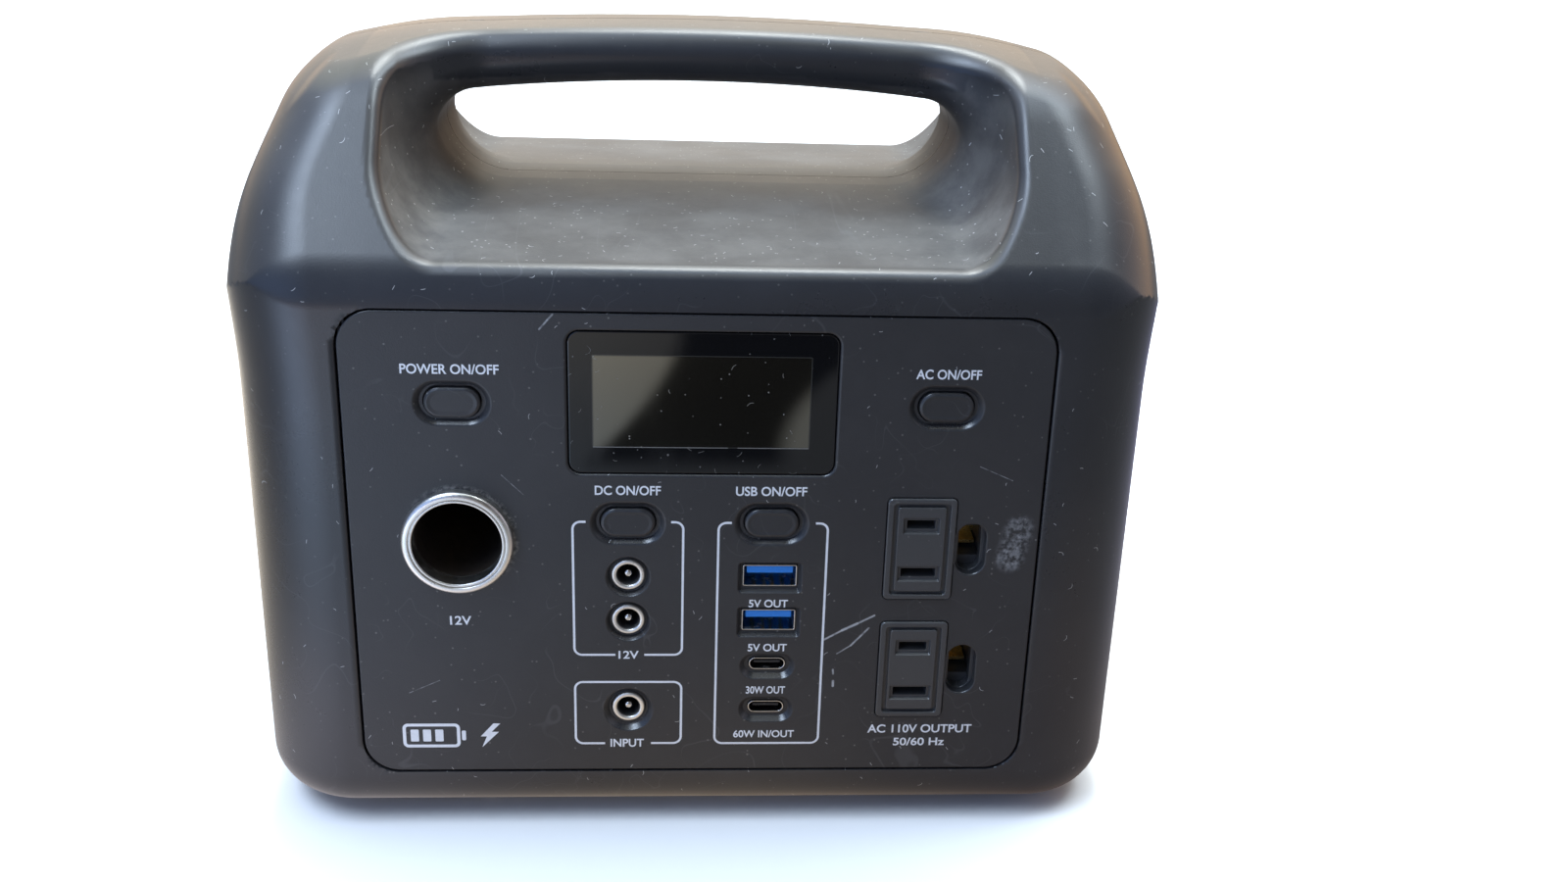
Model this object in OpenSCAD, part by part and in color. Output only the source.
// Portable power station: two clamshell halves with an arched carrying handle,
// a flush control panel, and the battery pack, inverter and fan inside.
// Frame: origin on the floor under the middle of the body, +Z up,
// the control panel faces -Y, so +X is the right-hand side seen from the front.
// The clamshell seam is the plane Y = 0.

/* [Body] */
// Width across the side walls
body_w = 220; // [218:1:224]
// Depth from front wall to rear wall
body_d = 154; // [152:1:157]
// Height of the moulded body without its feet
body_h = 188.5; // [187:0.5:190]
// Wall thickness of the shells
wall = 3; // [2.6:0.1:3.2]
// Radius of the four upright corners, seen from above
corner_r = 23; // [21:1:24]
// Height where the side walls start to lean inwards
side_bend_z = 143.6; // [142:0.5:145]
// Height where the front and rear walls start to slope
front_bend_z = 146; // [145:0.5:147]

/* [Handle] */
// Radius of the handle's arch
arch_r = 560; // [500:20:700]
// Thickness of the handle bar
grip_t = 15.4; // [14:0.2:16.4]
// Depth of the handle bar from front to back
grip_d = 38; // [35:1:40]
// Half width of the opening under the handle
grip_half_w = 66.7; // [64:0.5:68]
// Height of the scoop floor under the handle
grip_floor_z = 150.6; // [150:0.2:152]

/* [Panel] */
// Width of the control panel
panel_w = 163.2; // [162:0.2:164]
// Height of the control panel
panel_h = 119.6; // [118.6:0.2:120]
// Corner radius of the control panel
panel_r = 8.5; // [7:0.5:10]
// Gap around the control panel
panel_gap = 0.4; // [0.2:0.1:0.6]

/* [Buttons] */
// Length of each push button cap
cap_w = 12.8; // [12.2:0.1:13.2]
// Height of each push button cap
cap_h = 7.2; // [6.8:0.1:7.4]

/* [Sockets] */
// Inner diameter of the car socket
car_id = 21; // [20.9:0.05:21.3]
// Depth of the car socket's bore
car_depth = 44; // [40:1:46]
// Inner diameter of each DC jack ring
jack_id = 5.6; // [5.5:0.1:6]

/* [Battery] */
// Diameter of each cell with its sleeve
cell_d = 32.2; // [31.8:0.1:32.4]
// Length of each cell
cell_l = 70.5; // [69:0.5:70.5]

/* [Cooling] */
// Width of the square cooling fan
fan_w = 50; // [50:1:52]
// Number of fan blades
fan_blades = 7; // [5:1:9]

/* [Hidden] */
$fn = 64;

// every pairing of the first values with the second ones
function grid(firsts, seconds) = [for (first = firsts, second = seconds) [first, second]];
// an [x, z] place and its mirror image on the left
function pair(place) = [place, [-place[0], place[1]]];

// body; the feet lift it off the floor
foot_h = 2;
foot_r = 9;
foot_places = grid([-80, 80], [-50, 50]); // [x, y]
top_z = foot_h + body_h;
front_y = -body_d / 2;
rear_y = body_d / 2;
half_w = body_w / 2;
low_seam = [88, 13];                      // [x, z] of the screws across the seam
high_seam = [90, 136];
wall_seams = concat(pair(low_seam), pair(high_seam));
handle_seams = pair([42, top_z - 9]);
seam_places = concat(wall_seams, handle_seams);
seam_seat_y = 6;                          // where the seam screws' heads rest

// control panel, with the control board behind it; places are [x, z]
panel_at = [0, 75.6];
panel_y = front_y + 0.1;
panel_back_y = panel_y + 2.7;
panel_screw_places = grid([-77.8, 77.8], panel_at[1] + 1 * [-50, 0, 50][0] < 0 ? [] :
  [for (z = [-50, 0, 50]) panel_at[1] + z]);
board_t = 1.6;
board_y = panel_back_y + 12.2;            // front face of the control board
board_screw_places = concat(pair([34, 27]), pair([34, 96]), pair([66, 122]));

// columns of controls on the panel
car_x = -56.6;
dc_x = -16.8;
usb_x = 17.2;
button_top_z = 113.6;
button_mid_z = 83.8;
power_at = [car_x, button_top_z];
dc_at = [dc_x, button_mid_z];
usb_at = [usb_x, button_mid_z];
ac_at = [57, button_top_z];
button_places = [power_at, dc_at, usb_at, ac_at];
stem_y = board_y - 5;                     // where a button's plunger meets its switch stem

display_at = [0.5, button_top_z + 0.2];
window_w = 61.8;
window_h = 34.6;
window_r = 2.8;
window_gap = 0.2;
window_back_y = panel_y + 1.6;
lcd_size = [60, 32.4];
gasket_t = 0.8;

// sockets
car_at = [car_x, 79.2];
car_wall = 1.3;
car_y = panel_y - car_wall;               // start of the car socket's bore
car_end_y = car_y + car_depth;
car_pin_r = 2;
car_pin_head_r = 4.5;
jack_places = grid([dc_x], [69.9, 57.9, 33.5]);
jack_recess_r = [5, 5, 6];                // one for each jack
jack_r = 4;
jack_pin_r = 1;
usb_a_places = grid([usb_x], [69.8, 57.8]);
usb_c_places = grid([usb_x], [45.6, 33.4]);
usb_wall = 0.3;
outlet_upper_at = [53, 77.4];
outlet_lower_at = [53, 44.5];
outlet_places = [outlet_upper_at, outlet_lower_at];
outlet_w = 16.6;
outlet_h = 26.6;
blade_dz = 6.35;                          // blade slots above and below the outlet's middle
earth_offset = [12.4, 0];                 // from the outlet's middle to its earth hole
earth_h = 13.4;

// battery pack
cell_pitch = 33;
cell_y0 = -2;
cell_y1 = cell_y0 + cell_l;
cell_xs = cell_pitch * [-1.5, -0.5, 0.5, 1.5];
cell_zs = [for (row = [0:3]) 23.6 + row * cell_pitch];
cell_places = grid(cell_xs, cell_zs);
cell_gap_zs = [cell_zs[0] + cell_pitch / 2, cell_zs[2] + cell_pitch / 2];
pack_screw_places = grid([-cell_pitch, cell_pitch], cell_gap_zs);

// boards on the two sides of the pack; places are [y, z]
side_board_x = 68;                        // face towards the pack
side_face_x = side_board_x + board_t;     // face that carries the parts
side_joint_x = side_face_x - 0.1;         // parts of a board start just inside it
side_end_y = cell_y1 + 3;                 // rear edge of both boards
side_screw_places = grid([cell_y0 + 1.5, cell_y1 - 1.5], cell_gap_zs);
transformer_at = [-30, 87];
core_post_r = 5.4;
transistor_x = 74.4;                      // where the heatsink meets the transistors

// fan by the right-hand wall
fan_y = 35;
fan_z = 85;
fan_at = [fan_y, fan_z];
fan_x1 = half_w - wall - 3;               // outer face of the fan
fan_x0 = fan_x1 - 15;
fan_screw_places = grid([fan_y - 20, fan_y + 20], [fan_z - 20, fan_z + 20]);
fan_shaft_r = 1;
fan_bearing_r = 3;

// ---------- outlines ----------

function unit(v) = v / norm(v);
// directions from corner i to its neighbours
function to_prev(points, i) = unit(points[(i + len(points) - 1) % len(points)] - points[i]);
function to_next(points, i) = unit(points[(i + 1) % len(points)] - points[i]);
function half_angle(points, i) = acos(to_prev(points, i) * to_next(points, i)) / 2;
// the point inside corner i that lies this far from both of its sides
function inner_point(points, i, distance) =
  points[i] + unit(to_prev(points, i) + to_next(points, i)) * distance / sin(half_angle(points, i));
// moves every side of a convex outline inwards
function inset(points, distance) =
  [for (i = [0:len(points) - 1]) inner_point(points, i, distance)];

// convex outline with true arcs at the corners whose radius is above 0
module rounded_polygon(points, radii) {
  polygon([for (i = [0:len(points) - 1])
    let (reach = radii[i] / tan(half_angle(points, i)))
    each (radii[i] > 0
      ? [points[i] + to_prev(points, i) * reach, points[i] + to_next(points, i) * reach]
      : [points[i]])]);
  for (i = [0:len(points) - 1]) if (radii[i] > 0)
    translate(inner_point(points, i, radii[i])) circle(radii[i]);
}

module rounded_rect(w, h, r) {
  square([w - 2 * r, h], center = true);
  square([w, h - 2 * r], center = true);
  for (x = [-1, 1], y = [-1, 1]) translate([x * (w / 2 - r), y * (h / 2 - r)]) circle(r);
}

module obround(w, h) {
  square([w - h, h], center = true);
  for (side = [-1, 1]) translate([side * (w - h) / 2, 0]) circle(h / 2);
}

module cross(length) {
  square([length, 0.6], center = true);
  square([0.6, length], center = true);
}

// ---------- solids ----------
// Cutting shapes run past the faces they open, mostly by 1.
// Shapes joined end to end mostly overlap by 0.1.

// an XZ outline drawn out from y0 to y1
module along_y(y0, y1) {
  translate([0, y1, 0]) rotate([90, 0, 0]) linear_extrude(y1 - y0) children();
}

// a YZ outline drawn out from x0 to x1
module along_x(x0, x1) {
  translate([x0, 0, 0]) rotate([90, 0, 90]) linear_extrude(x1 - x0) children();
}

// round rod along Y at an [x, z] place
module rod_y(at, r, y0, y1) {
  translate([at[0], y1, at[1]]) rotate([90, 0, 0]) cylinder(r = r, h = y1 - y0);
}

// round rod along X at a [y, z] place
module rod_x(at, r, x0, x1) {
  translate([x0, at[0], at[1]]) rotate([0, 90, 0]) cylinder(r = r, h = x1 - x0);
}

module rods_y(places, r, y0, y1) {
  for (at = places) rod_y(at, r, y0, y1);
}

module rods_x(places, r, x0, x1) {
  for (at = places) rod_x(at, r, x0, x1);
}

module rounded_bar_y(at, w, h, r, y0, y1) {
  along_y(y0, y1) translate(at) rounded_rect(w, h, r);
}

module obround_y(at, w, h, y0, y1) {
  along_y(y0, y1) translate(at) obround(w, h);
}

// box between two opposite corners
module box(low, high) {
  translate(low) cube(high - low);
}

// box along Y centred on an [x, z] place
module block_y(at, w, h, y0, y1) {
  box([at[0] - w / 2, y0, at[1] - h / 2], [at[0] + w / 2, y1, at[1] + h / 2]);
}

// a shape on the right and its mirror image on the left
module both_sides() {
  for (side = [0, 1]) mirror([side, 0, 0]) children();
}

// ---------- body ----------

// body outline seen from the front, [x, z]
front_outline = [
  [-half_w, foot_h], [half_w, foot_h],
  [half_w, side_bend_z], [half_w - 15.2, side_bend_z + 39.4],
  [half_w - 24, top_z + 4], [-half_w + 24, top_z + 4],
  [-half_w + 15.2, side_bend_z + 39.4], [-half_w, side_bend_z]
];

// body outline seen from the side, [y, z]
side_outline = [
  [front_y, foot_h], [rear_y, foot_h],
  [rear_y, front_bend_z], [rear_y - 33, front_bend_z + 33],
  [9, top_z + 1.4], [-9, top_z + 1.4],
  [front_y + 33, front_bend_z + 33], [front_y, front_bend_z]
];

// disc about the centre of the handle's arch
module arch_disc(r) {
  translate([0, top_z - arch_r]) circle(r, $fn = 256);
}

// outer form of the body, with its surface moved inwards by depth
module body_form(depth) {
  base_r = 8 - depth;
  intersection() {
    translate([0, 0, -10]) linear_extrude(body_h + 30)
      rounded_rect(body_w - 2 * depth, body_d - 2 * depth, corner_r - depth);
    along_y(-body_d, body_d) intersection() {
      rounded_polygon(inset(front_outline, depth), [base_r, base_r, 14, 10, 0, 0, 10, 14]);
      arch_disc(arch_r - depth);
    }
    along_x(-body_w, body_w)
      rounded_polygon(inset(side_outline, depth), [base_r, base_r, 9, 9, 0, 0, 9, 9]);
  }
}

// hollow for the hand, with its surface moved outwards by grow
module scoop(grow) {
  hole_x = grip_half_w + grow;
  hole_z = grip_floor_z - grow;
  hole_r = 19 + grow;
  bowl_z = 146.8 - grow;
  bowl_low_x = 71.6 + grow;
  bowl_high_x = 77.6 + grow;
  bowl_r = 17 + grow;
  bowl_d = 150;
  tilt_y = -75;
  // opening under the handle
  along_y(-body_d, body_d) intersection() {
    rounded_polygon([[-hole_x, hole_z], [hole_x, hole_z], [hole_x, top_z], [-hole_x, top_z]],
      [hole_r, hole_r, 0, 0]);
    arch_disc(arch_r - grip_t + grow);
  }
  // bowl in front of and behind the handle, its floor tilted
  for (side = [0, 1]) mirror([0, side, 0]) intersection() {
    translate([0, tilt_y, 0]) rotate([3.2, 0, 0]) translate([0, -tilt_y, 0]) along_y(-body_d, 30)
      rounded_polygon(
        [[-bowl_low_x, bowl_z], [bowl_low_x, bowl_z], [bowl_high_x, 205], [-bowl_high_x, 205]],
        [bowl_r, bowl_r, 0, 0]);
    translate([0, -grip_d / 2 - bowl_d / 2 + grow / 2, 100]) linear_extrude(110)
      rounded_rect(153 + 2 * grow, bowl_d + grow, 26);
  }
}

// both shells in one piece, hollow inside
module skin() {
  difference() {
    body_form(0);
    scoop(0);
    difference() {
      body_form(wall);
      scoop(wall);
    }
  }
}

module front_seam_bosses() {
  boss_y = -16;
  half_rib = 1.2;
  lap = 0.6; // how far the ribs reach into the walls
  rods_y(wall_seams, 4.6, boss_y, 0);
  rods_y(handle_seams, 3.6, boss_y, 0);
  // ribs that tie the lower and upper side bosses to the walls
  both_sides() {
    box([low_seam[0] - half_rib, boss_y, foot_h + wall - lap], [low_seam[0] + half_rib, -1, 12]);
    box([91, boss_y, high_seam[1] - half_rib],
      [half_w - wall + lap, -1, high_seam[1] + half_rib]);
  }
}

// upright slots over a round field, cut through both side walls
module side_slots() {
  field_r = 22;
  pitch = 6;
  both_sides() for (i = [-3:3])
    along_x(half_w - 8, half_w + 8) translate([fan_y + i * pitch, fan_z]) rotate(90)
      obround(2 * sqrt(field_r * field_r - pow(i * pitch, 2)), 3);
}

module at_feet(z) {
  for (place = foot_places) translate([place[0], place[1], z]) children();
}

module foot_pockets() {
  at_feet(foot_h - 1) cylinder(r = foot_r + 0.1, h = 2);
}

module front_shell() {
  color([0.1, 0.1, 0.11]) difference() {
    union() {
      intersection() {
        skin();
        box([-body_w, -body_d, -5], [body_w, 0, 260]);
      }
      // ledge that the panel rests on
      rounded_bar_y(panel_at, panel_w + 8, panel_h + 8, panel_r + 3,
        panel_back_y, panel_back_y + 3);
      front_seam_bosses();
    }
    rounded_bar_y(panel_at, panel_w + 2 * panel_gap, panel_h + 2 * panel_gap,
      panel_r + panel_gap, -body_d, panel_back_y);
    rounded_bar_y(panel_at, panel_w - 15, panel_h - 9, 4, -body_d, panel_back_y + 4);
    rods_y(panel_screw_places, 2.8, panel_back_y - 1, panel_back_y + 5);
    rods_y(seam_places, 1.5, -13, 1);
    foot_pockets();
  }
}

module rear_shell() {
  color([0.1, 0.1, 0.11]) difference() {
    union() {
      intersection() {
        skin();
        box([-body_w, 0, -5], [body_w, body_d, 260]);
      }
      rods_y(wall_seams, 5.4, 0, rear_y - 1);
      rods_y(handle_seams, 4.2, 0, grip_d / 2 - 1);
      rods_y(pack_screw_places, 4.5, cell_y1 + 3, rear_y - 1);
      rods_x(fan_screw_places, 3, fan_x1, half_w - 1);
    }
    rods_y(seam_places, 1.8, -1, seam_seat_y);
    rods_y(seam_places, 3.2, seam_seat_y, rear_y + 2);
    rods_y(pack_screw_places, 1.3, cell_y1, rear_y - 1.2);
    rods_x(fan_screw_places, 1.3, fan_x1 - 1, half_w - 1);
    side_slots();
    foot_pockets();
  }
}

module rubber_feet() {
  taper_h = 1.2;
  color([0.14, 0.14, 0.14]) at_feet(0) {
    cylinder(r1 = 8, r2 = foot_r, h = taper_h);
    translate([0, 0, taper_h]) cylinder(r = foot_r, h = foot_h + 1 - taper_h);
  }
}

// ---------- control panel ----------

// opening through the panel from in front of it
module panel_hole_y() {
  along_y(panel_y - 1, panel_back_y + 1) children();
}

// shallow recess in the panel's front face
module panel_recess_y(depth) {
  along_y(panel_y - 1, panel_y + depth) children();
}

module panel_holes() {
  // display recess and its window
  rounded_bar_y(display_at, window_w + 2 * window_gap, window_h + 2 * window_gap,
    window_r + window_gap, panel_y - 1, window_back_y);
  rounded_bar_y(display_at, 55, 27.4, 1.5, panel_y, panel_back_y + 1);
  for (at = button_places) {
    panel_recess_y(1.3) translate(at) obround(17.6, 11);
    panel_hole_y() translate(at) obround(cap_w + 0.5, cap_h + 0.5);
  }
  rod_y(car_at, 12, panel_y - 1, panel_back_y + 1);
  for (i = [0:2]) rod_y(jack_places[i], jack_recess_r[i], panel_y - 1, panel_y + 1.5);
  rods_y(jack_places, 4.2, panel_y, panel_back_y + 1);
  for (at = usb_a_places) {
    panel_recess_y(1.2) translate(at - [0, 0.3]) rounded_rect(14.8, 7.6, 0.8);
    panel_hole_y() translate(at) rounded_rect(13.5, 6.1, 0.5);
  }
  for (at = usb_c_places) {
    panel_recess_y(1.3) translate(at - [0, 0.3]) obround(13.6, 6.4);
    panel_hole_y() translate(at) obround(9.4, 3.7);
  }
  // AC outlets and their earth holes
  for (at = outlet_places) panel_hole_y() {
    translate(at) rounded_rect(outlet_w + 0.3, outlet_h + 0.3, 1.4);
    translate(at + earth_offset) rotate(90) obround(earth_h, 7.1);
  }
}

module control_panel() {
  color([0.09, 0.09, 0.1]) difference() {
    union() {
      rounded_bar_y(panel_at, panel_w, panel_h, panel_r, panel_y, panel_back_y);
      rods_y(panel_screw_places, 2.6, panel_back_y, panel_back_y + 2.9);
      rods_y(board_screw_places, 3, panel_back_y, board_y);
    }
    rods_y(panel_screw_places, 1.2, panel_back_y - 1.2, panel_back_y + 4);
    rods_y(board_screw_places, 1.2, panel_back_y + 2, board_y + 1);
    panel_holes();
  }
}

module display_window() {
  color([0.03, 0.03, 0.035])
    rounded_bar_y(display_at, window_w, window_h, window_r, panel_y + 0.4, window_back_y);
}

module display_gasket() {
  border = 3;
  color([0.2, 0.2, 0.2]) difference() {
    along_y(panel_back_y, panel_back_y + gasket_t)
      translate(display_at) square(lcd_size, center = true);
    along_y(panel_back_y - 1, panel_back_y + 2)
      translate(display_at) square(lcd_size - 2 * [border, border], center = true);
  }
}

module lcd_module() {
  lcd_y = panel_back_y + gasket_t;
  color([0.3, 0.33, 0.3]) {
    along_y(lcd_y, lcd_y + 4) translate(display_at) square(lcd_size, center = true);
    // legs to the control board
    rods_y(grid([-26, 27], [button_top_z - 13, button_top_z + 13]), 1.2,
      lcd_y + 3.7, board_y);
  }
}

// cap, flange behind the panel and plunger
module button_cap(at) {
  obround_y(at, cap_w, cap_h, panel_y - 0.1, panel_back_y + 0.2);
  obround_y(at, cap_w + 3, cap_h + 2.4, panel_back_y + 0.15, panel_back_y + 1.6);
  rod_y(at, 2, panel_back_y + 1.5, stem_y);
}

module power_button() { color([0.1, 0.1, 0.11]) button_cap(power_at); }
module dc_button() { color([0.1, 0.1, 0.11]) button_cap(dc_at); }
module usb_button() { color([0.1, 0.1, 0.11]) button_cap(usb_at); }
module ac_button() { color([0.1, 0.1, 0.11]) button_cap(ac_at); }

// sprung plunger of a tact switch
module stem(at) {
  rod_y(at, 1.7, stem_y, board_y - 2.2);
  rod_y(at, 2.2, board_y - 2.4, board_y - 1.2);
}

module power_switch_stem() { color("ivory") stem(power_at); }
module dc_switch_stem() { color("ivory") stem(dc_at); }
module usb_switch_stem() { color("ivory") stem(usb_at); }
module ac_switch_stem() { color("ivory") stem(ac_at); }

module tact_switches() {
  color("silver") for (at = button_places) difference() {
    block_y(at, 6, 6, board_y - 3.6, board_y);
    rod_y(at, 1.8, board_y - 4, board_y - 1);
    rod_y(at, 2.3, board_y - 2.6, board_y - 0.3);
  }
}

// T-shaped board with parts on its back face
module control_board() {
  joint_y = board_y + board_t - 0.1;
  color([0.05, 0.3, 0.15]) difference() {
    union() {
      along_y(board_y, board_y + board_t) polygon([ // [x, z]
        [-38, 21], [38, 21], [38, 100], [70, 100], [70, 132], [-70, 132], [-70, 100], [-38, 100]
      ]);
      box([-24, joint_y, 100], [-8, board_y + 3.4, 116]);
      box([4, joint_y, 44], [18, board_y + 8, 58]);
      box([-20, joint_y, 30], [-8, board_y + 12, 40]);
      for (i = [0:2]) rod_y([28, 30 + 12 * i], 4, joint_y, board_y + 12);
    }
    rods_y(board_screw_places, 1.5, board_y - 1, board_y + 3);
  }
}

// ---------- sockets ----------

// tube with a rounded lip at its front end
module car_socket_shell() {
  outer_r = car_id / 2 + car_wall;
  color([0.8, 0.8, 0.8]) translate([car_at[0], car_y, car_at[1]]) rotate([-90, 0, 0])
    rotate_extrude() {
      translate([car_id / 2, 0]) square([car_wall, car_depth]);
      translate([outer_r, 0]) square([car_wall, car_wall]);
      translate([outer_r, 0]) circle(car_wall);
    }
}

// ring with grip notches around its rim
module car_socket_nut() {
  notches = 12;
  color([0.15, 0.15, 0.15]) difference() {
    rod_y(car_at, 16.5, panel_back_y, panel_back_y + 5);
    rod_y(car_at, 11.9, panel_back_y - 1, panel_back_y + 6);
    for (i = [0:notches - 1])
      translate([car_at[0], 0, car_at[1]]) rotate([0, i * 360 / notches, 0])
        rod_y([17, 0], 1.5, panel_back_y - 1, panel_back_y + 6);
  }
}

module car_socket_insulator() {
  color([0.12, 0.1, 0.09]) difference() {
    union() {
      rod_y(car_at, 11.8, car_end_y, car_end_y + 3);
      rod_y(car_at, 6, car_end_y + 2.9, car_end_y + 7);
    }
    rod_y(car_at, car_pin_head_r + 0.1, car_end_y - 1, car_end_y + 1.4);
    rod_y(car_at, car_pin_r + 0.1, car_end_y - 1, car_end_y + 8);
  }
}

module car_socket_contact() {
  color("goldenrod") {
    rod_y(car_at, car_pin_head_r, car_end_y + 0.2, car_end_y + 1.4);
    rod_y(car_at, car_pin_r, car_end_y + 1, car_end_y + 10);
  }
}

module dc_jack_sleeves() {
  color([0.8, 0.8, 0.8]) difference() {
    rods_y(jack_places, jack_r, panel_y + 0.6, panel_back_y + 8);
    rods_y(jack_places, jack_id / 2, panel_y - 1, panel_back_y + 7);
    rods_y(jack_places, 1.6, panel_back_y + 6, panel_back_y + 9);
  }
}

module dc_jack_pins() {
  color([0.85, 0.85, 0.85]) {
    rods_y(jack_places, jack_pin_r, panel_y + 1.4, panel_back_y + 9);
    rods_y(jack_places, 1.5, panel_back_y + 7, panel_back_y + 8.1);
  }
}

module dc_jack_housings() {
  color([0.08, 0.08, 0.08]) for (at = jack_places) difference() {
    block_y(at, 10.8, 10.8, panel_back_y + 0.2, board_y);
    rod_y(at, jack_r + 0.05, panel_back_y - 1, panel_back_y + 8.1);
    rod_y(at, jack_pin_r + 0.05, panel_back_y + 7, board_y - 1);
  }
}

module usb_a_shells() {
  w = 13.1;
  h = 5.7;
  color([0.75, 0.75, 0.75]) for (at = usb_a_places) difference() {
    rounded_bar_y(at, w, h, 0.5, panel_y + 0.9, board_y);
    along_y(panel_y - 1, board_y - 0.5)
      translate(at) square([w - 2 * usb_wall, h - 2 * usb_wall], center = true);
  }
}

// tongue in the upper half of each shell, on a block at its back end
module usb_a_tongues() {
  color([0.05, 0.35, 0.8]) for (at = usb_a_places) {
    box([at[0] - 5.6, panel_y + 1.6, at[1] + 0.35], [at[0] + 5.6, board_y - 3, at[1] + 2.2]);
    block_y(at, 12.2, 4.8, board_y - 3.1, board_y - 0.6);
  }
}

module usb_c_shells() {
  w = 8.95;
  h = 3.3;
  color([0.75, 0.75, 0.75]) for (at = usb_c_places) difference() {
    obround_y(at, w, h, panel_y + 1, board_y);
    obround_y(at, w - 2 * usb_wall, h - 2 * usb_wall, panel_y - 1, board_y - 0.5);
  }
}

module usb_c_tongues() {
  color([0.05, 0.05, 0.05]) for (at = usb_c_places) {
    block_y(at, 6.6, 0.7, panel_y + 2, board_y - 2.4);
    obround_y(at, 8, 2.4, board_y - 2.5, board_y - 0.6);
  }
}

module ac_outlet(at) {
  slot_y = panel_back_y + 3;         // back end of the slots
  pocket_y = slot_y - 0.1;
  pocket_end_y = panel_back_y + 16;
  difference() {
    union() {
      rounded_bar_y(at, outlet_w, outlet_h, 1.2, panel_y - 0.5, panel_back_y + 0.5);
      rounded_bar_y(at + [4.2, 0], 27.6, 29, 1.5, panel_back_y, panel_back_y + 15);
    }
    // groove between the rim and the inner plate
    difference() {
      rounded_bar_y(at, 13.6, 24, 0.8, panel_y - 1, panel_y + 0.5);
      rounded_bar_y(at, 11.6, 22.2, 0.6, panel_y - 2, panel_y + 0.5);
    }
    // blade slots, the lower one longer, and earth hole
    along_y(panel_y - 1, slot_y) {
      translate(at + [0, blade_dz]) square([6.8, 2.2], center = true);
      translate(at - [0, blade_dz]) square([8.4, 2.2], center = true);
    }
    along_y(panel_back_y - 1, slot_y)
      translate(at + earth_offset) rotate(90) obround(earth_h, 5.4);
    // pockets for the contacts
    for (dz = [-blade_dz, blade_dz])
      block_y(at + [0, dz], 10, 5.2, pocket_y, pocket_end_y);
    block_y(at + earth_offset, 6.4, 8, pocket_y, pocket_end_y);
  }
}

module ac_outlet_upper() { color([0.12, 0.12, 0.12]) ac_outlet(outlet_upper_at); }
module ac_outlet_lower() { color([0.12, 0.12, 0.12]) ac_outlet(outlet_lower_at); }

// forked contact of outer size [w, h] with a flange that fills its pocket;
// start is its distance behind the panel
module contact(at, size, flange, slot, start) {
  difference() {
    union() {
      block_y(at, size[0], size[1], panel_back_y + start, panel_back_y + 19);
      block_y(at, flange[0], flange[1], panel_back_y + 13, panel_back_y + 15);
    }
    block_y(at, slot[0], slot[1], panel_back_y + start - 1, panel_back_y + 13);
  }
}

module ac_contacts() {
  color("goldenrod") for (at = outlet_places) {
    for (dz = [-blade_dz, blade_dz])
      contact(at + [0, dz], size = [7.2, 3.4], flange = [10, 5.2], slot = [8, 1.8], start = 6);
    contact(at + earth_offset, size = [5.6, 6.4], flange = [6.4, 8], slot = [6, 4.8], start = 8);
  }
}

// ---------- battery pack ----------

module battery_cells() {
  color([0.2, 0.45, 0.7]) rods_y(cell_places, cell_d / 2, cell_y0, cell_y1);
}

// plate from y0 to y1, with cell seats cut from seat_y0 to seat_y1
module holder(y0, y1, seat_y0, seat_y1, screw_hole_r) {
  difference() {
    rounded_bar_y([0, cell_zs[0] + 1.5 * cell_pitch], 134, 134, 5, y0, y1);
    rods_y(cell_places, cell_d / 2 + 0.1, seat_y0, seat_y1);
    rods_y(cell_places, 12, y0 - 1, y1 + 1);
    rods_y(pack_screw_places, screw_hole_r, y0 - 1, y1 + 1);
    // pilot holes for the side board screws
    both_sides() for (z = cell_gap_zs) rod_x([(y0 + y1) / 2, z], 1.2, 62, 68);
  }
}

module cell_holder_front() {
  color([0.25, 0.25, 0.27]) holder(cell_y0 - 3, cell_y0 + 6, cell_y0, cell_y0 + 7, 4);
}

module cell_holder_rear() {
  color([0.25, 0.25, 0.27]) holder(cell_y1 - 6, cell_y1 + 3, cell_y1 - 7, cell_y1, 1.8);
}

// a strip over each [first, last] span of cell columns; studs reach the cell ends
module links(strip_y, stud_y0, stud_y1, spans) {
  edge = 8;
  for (span = spans) {
    box([cell_xs[span[0]] - edge, strip_y, cell_zs[0] - edge],
      [cell_xs[span[1]] + edge, strip_y + 0.4, cell_zs[3] + edge]);
    rods_y(grid([for (column = span) cell_xs[column]], cell_zs), 6, stud_y0, stud_y1);
  }
}

module cell_links_front() {
  strip_y = cell_y0 - 3.4;
  color([0.75, 0.75, 0.72]) links(strip_y, strip_y, cell_y0, [[0, 1], [2, 3]]);
}

module cell_links_rear() {
  strip_y = cell_y1 + 3;
  color([0.75, 0.75, 0.72]) difference() {
    links(strip_y, cell_y1, strip_y, [[1, 2], [0, 0], [3, 3]]);
    rods_y(pack_screw_places, 5, cell_y1 + 2, cell_y1 + 6);
  }
}

// flat leads from the pack to the two power boards
module battery_leads() {
  y0 = cell_y0 - 5.6;
  y1 = cell_y0 - 3.4;
  color([0.7, 0.1, 0.1]) {
    box([-66, y0, 132], [side_board_x, y1, 137]);
    box([-side_board_x, y0, 126], [-64, y1, 137]);
  }
}

// ---------- left-hand board ----------

module bms_board() {
  color([0.05, 0.25, 0.4]) difference() {
    union() {
      box([-side_face_x, -8, 18], [-side_board_x, side_end_y, 128]);
      for (i = [0:5]) box([-74, 8 + i * 9, 96], [-side_joint_x, 14 + i * 9, 106]);
      box([-76, 20, 40], [-side_joint_x, 40, 52]);
      for (i = [0:3]) box([-75, 8 + i * 14, 70], [-side_joint_x, 18 + i * 14, 74]);
    }
    rods_x(side_screw_places, 1.5, -75, -67);
  }
}

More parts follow.
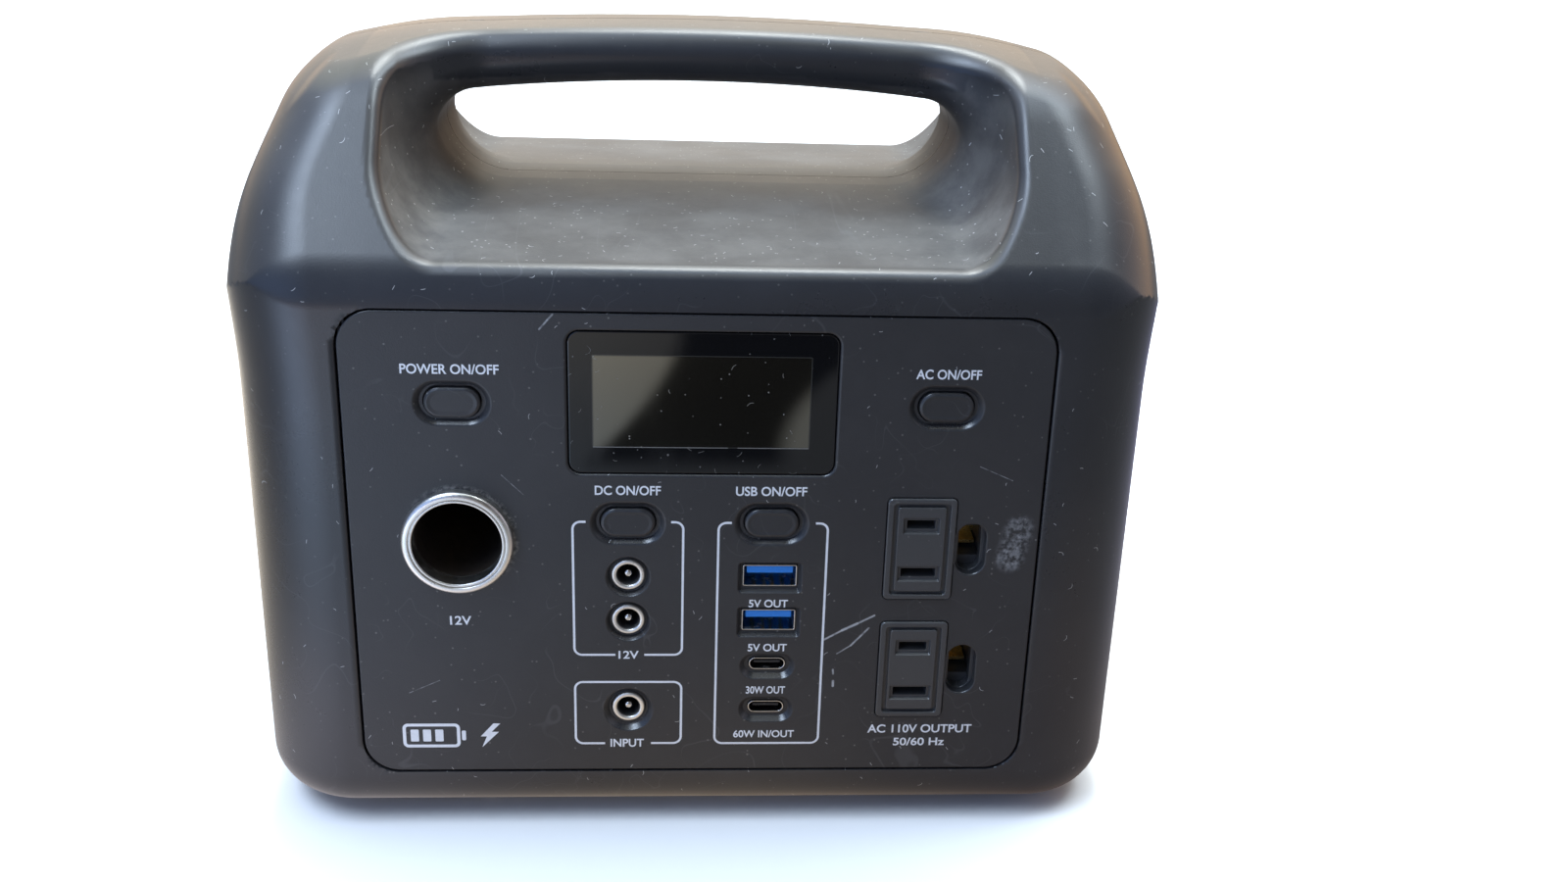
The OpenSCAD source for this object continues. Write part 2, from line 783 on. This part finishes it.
module bms_fuse() {
  color([0.85, 0.55, 0.1]) {
    box([-78, 46, 40], [-side_face_x, 60, 47]);
    for (y = [43.5, 58]) box([-71.5, y, 42], [-side_face_x, y + 4.5, 45]);
  }
}

// ---------- right-hand board ----------

module inverter_board() {
  color([0.05, 0.3, 0.15]) difference() {
    union() {
      box([side_board_x, -48, 12], [side_face_x, side_end_y, 136]);
      for (i = [0:2]) box([side_joint_x, -42 + i * 8, 122], [80, -37 + i * 8, 130]);
      box([side_joint_x, 20, 118], [76, 50, 130]);
    }
    rods_x(side_screw_places, 1.5, 67, 75);
  }
}

// closed frame with a round middle post inside the winding
module transformer_core() {
  color([0.2, 0.2, 0.22]) difference() {
    box([side_face_x, -46, 74], [97, -14, 100]);
    difference() {
      box([73.2, -40.5, 73], [93.4, -19.5, 101]);
      rod_x(transformer_at, core_post_r, 69, 99);
    }
  }
}

module transformer_winding() {
  color([0.7, 0.45, 0.15]) difference() {
    rod_x(transformer_at, 10, 73.6, 93);
    rod_x(transformer_at, core_post_r + 0.2, 72, 95);
  }
}

module capacitors() {
  color([0.1, 0.12, 0.3]) rods_x(grid([-38, -14], [31, 53]), 9, side_face_x, 97);
}

module choke_coil() {
  choke_at = [14, 52];
  color([0.65, 0.4, 0.12]) difference() {
    rod_x(choke_at, 10, side_face_x, 78);
    rod_x(choke_at, 4.5, 69, 80);
  }
}

// base plate with upright fins
module heatsink() {
  fin_x = transistor_x + 3;
  fin_pitch = 6.3;
  color([0.7, 0.7, 0.72]) {
    box([transistor_x, 8, 20], [fin_x, 62, 40]);
    for (i = [0:8])
      box([fin_x - 0.1, 9 + i * fin_pitch, 20], [94, 10.4 + i * fin_pitch, 40]);
  }
}

module transistors() {
  color([0.1, 0.1, 0.1]) for (i = [0:3])
    box([side_face_x, 11 + i * 13, 22], [transistor_x, 21 + i * 13, 38]);
}

// ---------- fan ----------

// square duct with a hub on three spokes at its inner face
module fan_frame() {
  hub_t = 2;
  spoke_w = 3;
  color([0.13, 0.13, 0.13]) difference() {
    union() {
      difference() {
        along_x(fan_x0, fan_x1) translate(fan_at) rounded_rect(fan_w, fan_w, 3);
        rod_x(fan_at, fan_w / 2 - 1, fan_x0 - 1, fan_x1 + 1);
      }
      rod_x(fan_at, 9, fan_x0, fan_x0 + hub_t);
      for (angle = [0, 120, 240]) translate([fan_x0, fan_y, fan_z]) rotate([angle, 0, 0])
        translate([0, 0, -spoke_w / 2]) cube([hub_t, fan_w / 2, spoke_w]);
    }
    rods_x(fan_screw_places, 1.9, fan_x0 - 1, fan_x1 + 1);
    rod_x(fan_at, fan_bearing_r + 0.05, fan_x0 - 1, fan_x0 + 3);
  }
}

module fan_bearing() {
  color("goldenrod") difference() {
    rod_x(fan_at, fan_bearing_r, fan_x0, fan_x0 + 4);
    rod_x(fan_at, fan_shaft_r + 0.05, fan_x0 - 1, fan_x0 + 5);
  }
}

// cup and shaft, with blades trimmed to the ring around the cup
module fan_rotor() {
  color([0.16, 0.16, 0.17]) {
    difference() {
      rod_x(fan_at, 11, fan_x0 + 3, fan_x1 - 1);
      rod_x(fan_at, 9.6, fan_x0 + 2, fan_x1 - 2.4);
    }
    rod_x(fan_at, fan_shaft_r, fan_x0 + 0.4, fan_x1 - 2);
    intersection() {
      difference() {
        rod_x(fan_at, fan_w / 2 - 2, fan_x0 + 3.2, fan_x1 - 1.2);
        rod_x(fan_at, 10.5, fan_x0, fan_x1);
      }
      for (i = [0:fan_blades - 1])
        translate([(fan_x0 + fan_x1) / 2 + 1, fan_y, fan_z]) rotate([i * 360 / fan_blades, 0, 0])
          translate([0, 0, 17]) rotate([0, 0, 42]) cube([13, 1.3, 18], center = true);
    }
  }
}

// ---------- fasteners ----------

// cross-head screws whose heads rest at seat_y and face +Y
module screws_y(places, seat_y, shank_d, head_d, head_h, shank_l) {
  for (at = places) difference() {
    union() {
      rod_y(at, head_d / 2, seat_y, seat_y + head_h);
      rod_y(at, shank_d / 2, seat_y - shank_l, seat_y + 0.1);
    }
    along_y(seat_y + head_h - 0.8, seat_y + head_h + 1) translate(at) cross(head_d * 0.6);
  }
}

module shell_screws() {
  color("dimgray") screws_y(seam_places, seam_seat_y,
    shank_d = 2.8, head_d = 5.6, head_h = 2, shank_l = 18);
}

module panel_screws() {
  color("silver") screws_y(panel_screw_places, panel_back_y + 3,
    shank_d = 2.2, head_d = 6.6, head_h = 1.6, shank_l = 3.6);
}

module board_screws() {
  color("silver") screws_y(board_screw_places, board_y + board_t,
    shank_d = 2.2, head_d = 4.8, head_h = 1.6, shank_l = 8);
}

// these face -Y, with their heads against the rear cell holder
module pack_screws() {
  seat_y = cell_y1 - 6;
  color("silver") for (at = pack_screw_places) difference() {
    union() {
      rod_y(at, 3, seat_y - 2.2, seat_y);
      rod_y(at, 1.2, seat_y - 0.1, rear_y - 1.6);
    }
    along_y(seat_y - 3, seat_y - 1.4) translate(at) cross(3.4);
  }
}

module side_board_screws() {
  color("silver") both_sides() {
    rods_x(side_screw_places, 2.4, side_face_x, side_face_x + 1.6);
    rods_x(side_screw_places, 1.1, 62.5, side_face_x + 0.1);
  }
}

module fan_screws() {
  color("silver") {
    rods_x(fan_screw_places, 3, fan_x0 - 1.6, fan_x0);
    rods_x(fan_screw_places, 1.2, fan_x0 - 0.1, half_w - 1.4);
  }
}

front_shell();
rear_shell();
control_panel();
display_window();
display_gasket();
lcd_module();
power_button();
dc_button();
usb_button();
ac_button();
power_switch_stem();
dc_switch_stem();
usb_switch_stem();
ac_switch_stem();
tact_switches();
car_socket_shell();
car_socket_nut();
car_socket_insulator();
car_socket_contact();
dc_jack_sleeves();
dc_jack_pins();
dc_jack_housings();
usb_a_shells();
usb_a_tongues();
usb_c_shells();
usb_c_tongues();
ac_outlet_upper();
ac_outlet_lower();
ac_contacts();
control_board();
battery_cells();
cell_holder_front();
cell_holder_rear();
cell_links_front();
cell_links_rear();
bms_board();
bms_fuse();
inverter_board();
transformer_core();
transformer_winding();
capacitors();
choke_coil();
heatsink();
transistors();
battery_leads();
fan_frame();
fan_rotor();
fan_bearing();
rubber_feet();
shell_screws();
panel_screws();
board_screws();
side_board_screws();
pack_screws();
fan_screws();
